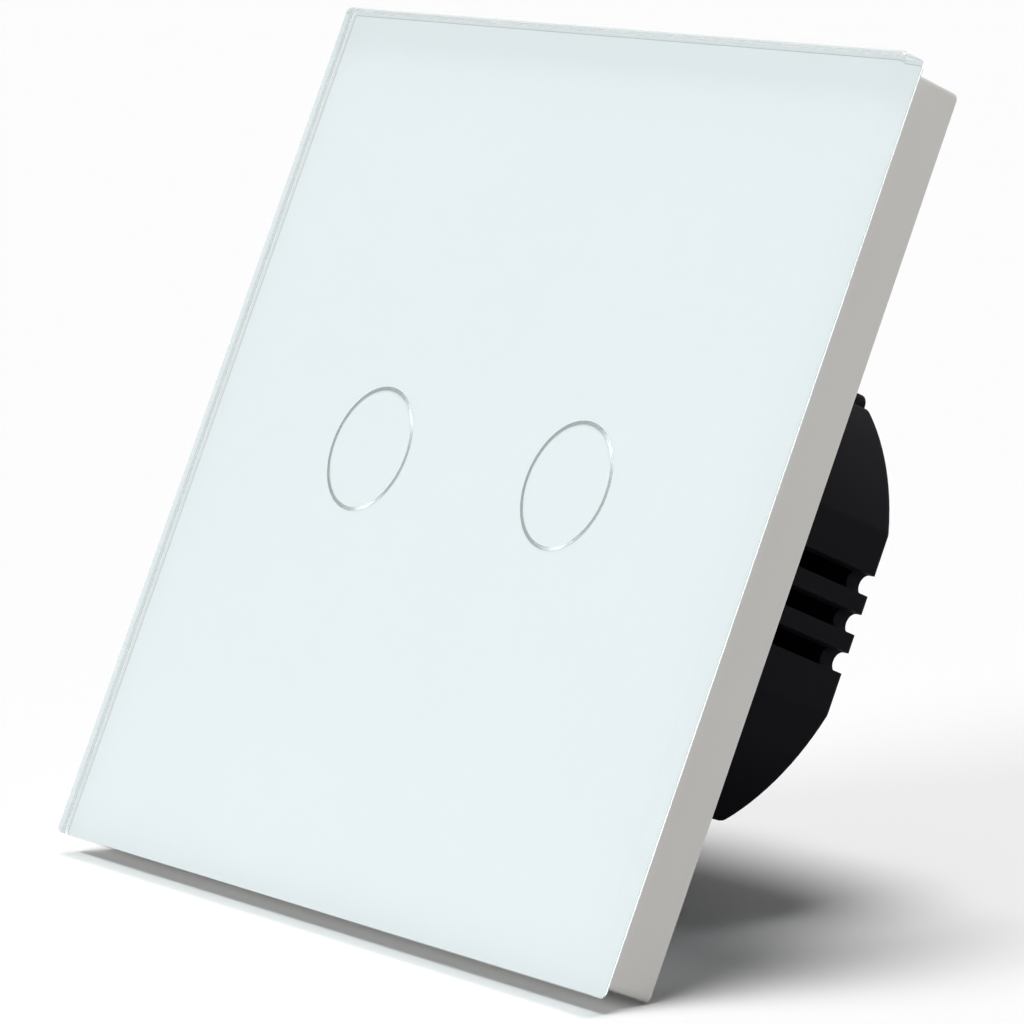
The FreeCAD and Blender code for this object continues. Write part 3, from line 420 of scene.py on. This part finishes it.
def lamp_resin():
    resin = Finish("lamp_resin")
    cloud = resin.noise(0.6 * MM, 2, 0.5)
    return resin.show(
        resin.principled(
            Base_Color=resin.mix(cloud, screen(236, 222, 160), screen(244, 233, 186)),
            Roughness=cloud * 0.1 + 0.2,
            Coat_Weight=0.4,
        )
    )


OWN_FINISHES = (
    clear_glass,
    white_print,
    ring_ink,
    foam_tape,
    frame_plastic,
    plate_steel,
    black_plastic,
    circuit_board,
    lamp_resin,
    coil_copper,
)

# Dark and light colour, roughness
METALS = {
    "screw_steel": ((168, 170, 172), (196, 198, 200), 0.22),
    "spring_steel": ((176, 178, 180), (204, 205, 206), 0.18),
    "brass": ((186, 150, 84), (208, 172, 104), 0.24),
    "relay_iron": ((150, 151, 153), (180, 181, 183), 0.28),
}

# Dark and light colour, roughness, and for a coarser grain its size and depth
MOULDINGS = {
    "chip_resin": ((24, 24, 26), (34, 34, 36), 0.5),
    "white_nylon": ((214, 213, 206), (224, 223, 217), 0.4),
    "guide_plastic": ((226, 228, 228), (236, 238, 238), 0.3),
    "connector_plastic": ((28, 28, 30), (38, 38, 40), 0.42),
    "can_sleeve": ((26, 34, 72), (34, 44, 88), 0.25),
    "capacitor_case": ((40, 40, 43), (50, 50, 53), 0.32),
    "ferrite": ((44, 44, 46), (60, 60, 62), 0.5, 0.3, 0.02),
    "shrink_sleeve": ((20, 20, 21), (28, 28, 30), 0.38),
    "fuse_ceramic": ((206, 201, 188), (222, 218, 208), 0.35),
    "varistor_coat": ((24, 78, 150), (34, 92, 168), 0.22),
    "terminal_plastic": ((26, 26, 27), (34, 34, 36), 0.42),
    "relay_case": ((28, 28, 30), (38, 38, 41), 0.28),
}


def make_finishes():
    """One material for each of the record's slots."""
    made = {finish.__name__: finish() for finish in OWN_FINISHES}
    made.update({slot: metal(slot, *look) for slot, look in METALS.items()})
    made.update({slot: moulding(slot, *look) for slot, look in MOULDINGS.items()})
    return made


def dress_nodes():
    for part in frame["record"]["subparts"]:
        mesh = frame["nodes"][part["node"]].data
        mesh.materials.clear()
        mesh.materials.append(finishes[part["material_slot"]])


# Tools for new pieces


def block(work, low, high):
    corners = bmesh.ops.create_cube(work, size=1)["verts"]
    bmesh.ops.scale(work, vec=high - low, verts=corners)
    bmesh.ops.translate(work, vec=(low + high) / 2, verts=corners)


def soften(work, edges, width, segments):
    bmesh.ops.bevel(
        work,
        geom=edges,
        offset=width,
        offset_type="OFFSET",
        affect="EDGES",
        segments=segments,
        profile=0.5,
        material=-1,
    )


def edges_along_y(work):
    def way(edge):
        return (edge.verts[0].co - edge.verts[1].co).normalized()

    return [edge for edge in work.edges if abs(way(edge).y) > ALONG]


def edges_at_y(work, y):
    return [edge for edge in work.edges if all(abs(v.co.y - y) < NEAR for v in edge.verts)]


def make_piece(name, work, slot, body, *nodes, smooth=35, finish=None):
    """Turns a finished bmesh into a piece that rides on a body and stands for nodes."""
    bmesh.ops.recalc_face_normals(work, faces=work.faces)
    mesh = bpy.data.meshes.new(name)
    work.to_mesh(mesh)
    work.free()
    mesh.shade_smooth()
    mesh.set_sharp_from_angle(angle=math.radians(smooth))
    mesh.materials.append(finish or finishes[slot])
    piece = bpy.data.objects.new(name, mesh)
    bpy.context.scene.collection.objects.link(piece)
    if nodes:
        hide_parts(*nodes)
    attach(piece, body)
    return piece


# New pieces of the front panel


def make_pane():
    """A block with a bevelled front edge, polished sides and a ground rear edge."""
    low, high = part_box("glass_panel")
    work = bmesh.new()
    block(work, low, high)
    soften(work, edges_along_y(work), PANE_CORNER, CORNER_STEPS)
    soften(work, edges_at_y(work, low.y), PANE_BEVEL, 1)
    soften(work, edges_at_y(work, high.y), GROUND_EDGE, 1)
    for face in work.faces:
        if abs(face.normal.y) < SIDE_LOOK:
            face.material_index = 1
        elif SIDE_LOOK < face.normal.y < BROAD_LOOK:
            face.material_index = 2
    pane = make_piece(
        "glass_pane", work, "clear_glass", "front_panel", "glass_panel", smooth=30
    )
    pane.data.materials.append(glass_rim())
    pane.data.materials.append(ground_glass())


def make_print():
    """Paint that starts a little inside the glass, so that no air gap mirrors there."""
    low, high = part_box("back_print")
    glass_low, glass_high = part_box("glass_panel")
    inset = Vector((COAT_INSET, 0, COAT_INSET))
    low = Vector((glass_low.x, low.y - PRINT_SINK, glass_low.z)) + inset
    high = Vector((glass_high.x, high.y, glass_high.z)) - inset
    work = bmesh.new()
    block(work, low, high)
    soften(work, edges_along_y(work), PANE_CORNER, CORNER_STEPS)
    make_piece("back_paint", work, "white_print", "front_panel", "back_print")


def make_rings():
    """Two ring lines that slope outwards, so that each glint lamp shows in one place."""
    low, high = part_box("ring_marks")
    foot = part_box("back_print")[0].y
    print_face = foot - PRINT_SINK
    work = bmesh.new()
    for middle in (low.x + RING_RADII[-1], high.x - RING_RADII[-1]):
        outline = [(r, print_face - h) for r, h in zip(RING_RADII, RING_HEIGHTS)]
        outline += [(RING_RADII[-1], foot), (RING_RADII[0], foot)]
        corners = [work.verts.new((middle + r, y, 0)) for r, y in outline]
        sides = [work.edges.new(pair) for pair in zip(corners, corners[1:] + corners[:1])]
        bmesh.ops.spin(
            work,
            geom=corners + sides,
            cent=(middle, 0, 0),
            axis=(0, 1, 0),
            angle=2 * math.pi,
            steps=RING_STEPS,
            use_merge=True,
        )
    make_piece("ring_lines", work, "ring_ink", "front_panel", "ring_marks")


# New pieces on the boards


def make_touch_spring(word):
    """A spring of round wire whose end turns lie closer than its middle ones."""
    node = word + "_touch_spring"
    low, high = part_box(node)
    middle = (low + high) / 2
    radius = (high.x - low.x) / 2 - WIRE
    rise = high.y - low.y - 2 * WIRE
    close_run = (END_TURNS, END_TURNS * END_PITCH)
    open_run = (OPEN_TURNS, rise - 2 * END_TURNS * END_PITCH)
    work = bmesh.new()
    made = bmesh.ops.create_circle(work, segments=WIRE_SIDES, radius=WIRE)["verts"]
    start = Matrix.Translation((middle.x + radius, high.y - WIRE, middle.z))
    bmesh.ops.transform(work, matrix=start, verts=made)
    end = made + work.edges[:]
    for turns, climb in (close_run, open_run, close_run):
        steps = round(turns * STEPS_PER_TURN)
        end = bmesh.ops.spin(
            work,
            geom=end,
            cent=middle,
            axis=(0, 1, 0),
            dvec=(0, -climb / steps, 0),
            angle=turns * 2 * math.pi,
            steps=steps,
        )["geom_last"]
    bmesh.ops.holes_fill(work, edges=work.edges, sides=WIRE_SIDES)
    make_piece(node + "_wire", work, "spring_steel", "base", node)


def box_at(work, middle, size):
    """A block by its middle and size, both in millimetres."""
    middle, size = Vector(middle) * MM, Vector(size) * MM
    block(work, middle - size / 2, middle + size / 2)


def centred(place, count, pitch):
    """Where one of a count of evenly spaced things lies, from the middle of them all."""
    return (place - (count - 1) / 2) * pitch


def make_chip_legs(node):
    """Bent legs along the four sides of a controller, down to the board behind it."""
    low, high = (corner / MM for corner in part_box(node))
    middle = (low + high) / 2
    half = (high.x - low.x) / 2
    # Of each length of a leg: its reach from the middle, depth, width and height
    shoulder = (half + LEG_SHOULDER / 2, middle.y, LEG_SHOULDER, LEG_THICK)
    shank = (half + LEG_SHOULDER, (middle.y + high.y) / 2, LEG_THICK, high.y - middle.y)
    foot = (half + LEG_FOOT, high.y - LEG_THICK / 2, LEG_FOOT, LEG_THICK)
    work = bmesh.new()
    for leg in range(LEGS_A_SIDE):
        along = centred(leg, LEGS_A_SIDE, LEG_PITCH)
        for out in (-1, 1):
            for reach, deep, wide, tall in (shoulder, shank, foot):
                at = out * reach
                beside = (middle.x + at, deep, middle.z + along)
                above = (middle.x + along, deep, middle.z + at)
                box_at(work, beside, (wide, tall, LEG_WIDE))
                box_at(work, above, (LEG_WIDE, tall, wide))
    make_piece(node + "_legs", work, "screw_steel", "base")


def make_small_parts():
    """Rows of small chip parts with tinned ends on the touch board's front."""
    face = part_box("touch_board")[0].y / MM
    body_deep = face - SMALL_PART_BODY[1] / 2
    end_deep = face - SMALL_PART_END[1] / 2
    bodies, ends = bmesh.new(), bmesh.new()
    for row in (-1, 1):
        for place in range(SMALL_PARTS):
            across = centred(place, SMALL_PARTS, SMALL_PART_PITCH)
            up = row * (SMALL_PART_ROW + place % 3 * SMALL_PART_STAGGER)
            box_at(bodies, (across, body_deep, up), SMALL_PART_BODY)
            for end in (-SMALL_PART_REACH, SMALL_PART_REACH):
                box_at(ends, (across + end, end_deep, up), SMALL_PART_END)
    ceramic = moulding("small_part_ceramic", (52, 46, 42), (88, 78, 68), 0.3)
    make_piece("small_part_bodies", bodies, "chip_resin", "base", finish=ceramic)
    make_piece("small_part_ends", ends, "screw_steel", "base")


def make_board_tracks():
    """Raised copper under the mask, from the controller to the springs and the rows."""
    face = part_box("touch_board")[0].y / MM
    work = bmesh.new()

    def track(across, up, wide, tall):
        box_at(work, (across, face - TRACK_HIGH / 2, up), (wide, TRACK_HIGH, tall))

    for side in (-1, 1):
        for lane in range(SPRING_TRACKS):
            up = centred(lane, SPRING_TRACKS, SPRING_TRACK_PITCH)
            track(side * SPRING_TRACK_MIDDLE, up, SPRING_TRACK_LONG, TRACK_WIDE)
        for lane in range(SMALL_PARTS):
            start = centred(lane, SMALL_PARTS, LEG_PITCH)
            across = centred(lane, SMALL_PARTS, SMALL_PART_PITCH)
            inner = side * (ROW_TRACK_START + abs(across) * ROW_TRACK_FAN)
            reach = side * SMALL_PART_ROW - inner
            track(across, inner + reach / 2, TRACK_WIDE, abs(reach))
            track((across + start) / 2, inner, abs(across - start) + TRACK_WIDE, TRACK_WIDE)
    masked_copper = moulding("masked_copper", (34, 104, 66), (42, 118, 76), 0.26)
    make_piece("board_tracks", work, "circuit_board", "base", finish=masked_copper)


# Studio


def studio_way(azimuth, elevation):
    """A direction: degrees round the part from the camera's side, and up from the floor."""
    level_back = RIGHT.cross(FLOOR_NORMAL).normalized()
    round_angle, up_angle = math.radians(azimuth), math.radians(elevation)
    level = RIGHT * math.sin(round_angle) + level_back * math.cos(round_angle)
    return level * math.cos(up_angle) + FLOOR_NORMAL * math.sin(up_angle)


def facing(direction):
    """A turn whose +Z looks along a direction, as a lamp's or a camera's back does."""
    return direction.to_track_quat("Z", "Y").to_matrix().to_4x4()


def make_camera():
    data = bpy.data.cameras.new("camera")
    data.lens = LENS
    data.sensor_width = SENSOR
    data.clip_start = 0.01
    data.clip_end = 50
    camera = bpy.data.objects.new("camera", data)
    bpy.context.scene.collection.objects.link(camera)
    turn = Matrix((RIGHT, UP, BACK)).transposed().to_4x4()
    camera.matrix_world = Matrix.Translation(EYE) @ turn
    bpy.context.scene.camera = camera


def make_lamp(name, direction, level, spread):
    """A far soft lamp that lights a white face turned to it to a level, 1 being white."""
    data = bpy.data.lights.new(name, "SUN")
    data.energy = level * math.pi
    data.angle = math.radians(spread)
    lamp = bpy.data.objects.new(name, data)
    bpy.context.scene.collection.objects.link(lamp)
    lamp.matrix_world = Matrix.Translation(direction) @ facing(direction)


def make_surround():
    world = bpy.data.worlds.new("surround")
    bpy.context.scene.world = world
    world.use_nodes = True
    nodes, links = world.node_tree.nodes, world.node_tree.links
    nodes.clear()
    path = nodes.new("ShaderNodeLightPath")
    seen = path.outputs["Is Camera Ray"]
    for ray in ("Is Glossy Ray", "Is Transmission Ray"):
        either = nodes.new("ShaderNodeMath")
        either.operation = "MAXIMUM"
        links.new(seen, either.inputs[0])
        links.new(path.outputs[ray], either.inputs[1])
        seen = either.outputs[0]
    level = nodes.new("ShaderNodeMapRange")
    links.new(seen, level.inputs["Value"])
    level.inputs["To Min"].default_value = SURROUND_LIGHT
    level.inputs["To Max"].default_value = SURROUND_SEEN
    white = nodes.new("ShaderNodeBackground")
    links.new(level.outputs[0], white.inputs["Strength"])
    white.inputs["Color"].default_value = grey(1)
    out = nodes.new("ShaderNodeOutputWorld")
    links.new(white.outputs[0], out.inputs["Surface"])


def floor_paper():
    """White matt paper that shows only from above, so that views from below are open."""
    paper = Finish("floor_paper")
    tooth = paper.noise(0.8 * MM, 2, 0.5)
    seen = paper.node("ShaderNodeLightPath", output="Is Camera Ray")
    lit = paper.node(
        "ShaderNodeBsdfDiffuse",
        inputs={
            "Color": paper.mix(seen, grey(FLOOR_BOUNCE), grey(FLOOR_SEEN)),
            "Normal": paper.bump(tooth, 0.01 * MM, 0.1),
        },
    )
    open_way = paper.node("ShaderNodeBsdfTransparent", inputs={"Color": grey(1)})
    behind = paper.node("ShaderNodeNewGeometry", output="Backfacing")
    shader = paper.node("ShaderNodeMixShader", inputs={0: behind, 1: lit, 2: open_way})
    return paper.show(shader)


def make_floor():
    mesh = bpy.data.meshes.new("floor")
    work = bmesh.new()
    bmesh.ops.create_grid(work, x_segments=1, y_segments=1, size=FLOOR_SIZE / 2)
    work.transform(Matrix.Translation(FLOOR_POINT) @ facing(FLOOR_NORMAL))
    work.to_mesh(mesh)
    work.free()
    mesh.materials.append(floor_paper())
    floor = bpy.data.objects.new("floor", mesh)
    bpy.context.scene.collection.objects.link(floor)


def light_studio():
    """The narrow pair gives each ring line its two glints, by way of the glass."""
    make_lamp("overhead", studio_way(0, 90), 0.66, 26)
    make_lamp("back_top", studio_way(180, 75), 0.13, 50)
    make_lamp("front_key", studio_way(-58, 22), 0.408, 30)
    make_lamp("low_glint", Vector((-0.744, -0.665, -0.067)), 0.016, 6)
    make_lamp("high_glint", Vector((-0.665, -0.71, 0.233)), 0.016, 6)
    make_lamp("right_fill", studio_way(64, 2), 0.24, 4)
    make_lamp("left_fill", studio_way(-144, 2), 0.24, 4)
    make_lamp("back_fill", studio_way(128, 2), 0.12, 4)


finishes = make_finishes()
dress_nodes()
make_pane()
make_print()
make_rings()
for word in ("left", "right"):
    make_touch_spring(word)
for node in ("touch_controller", "power_controller"):
    make_chip_legs(node)
make_small_parts()
make_board_tracks()
make_camera()
make_surround()
make_floor()
light_studio()

bpy.context.scene.view_settings.view_transform = "Standard"
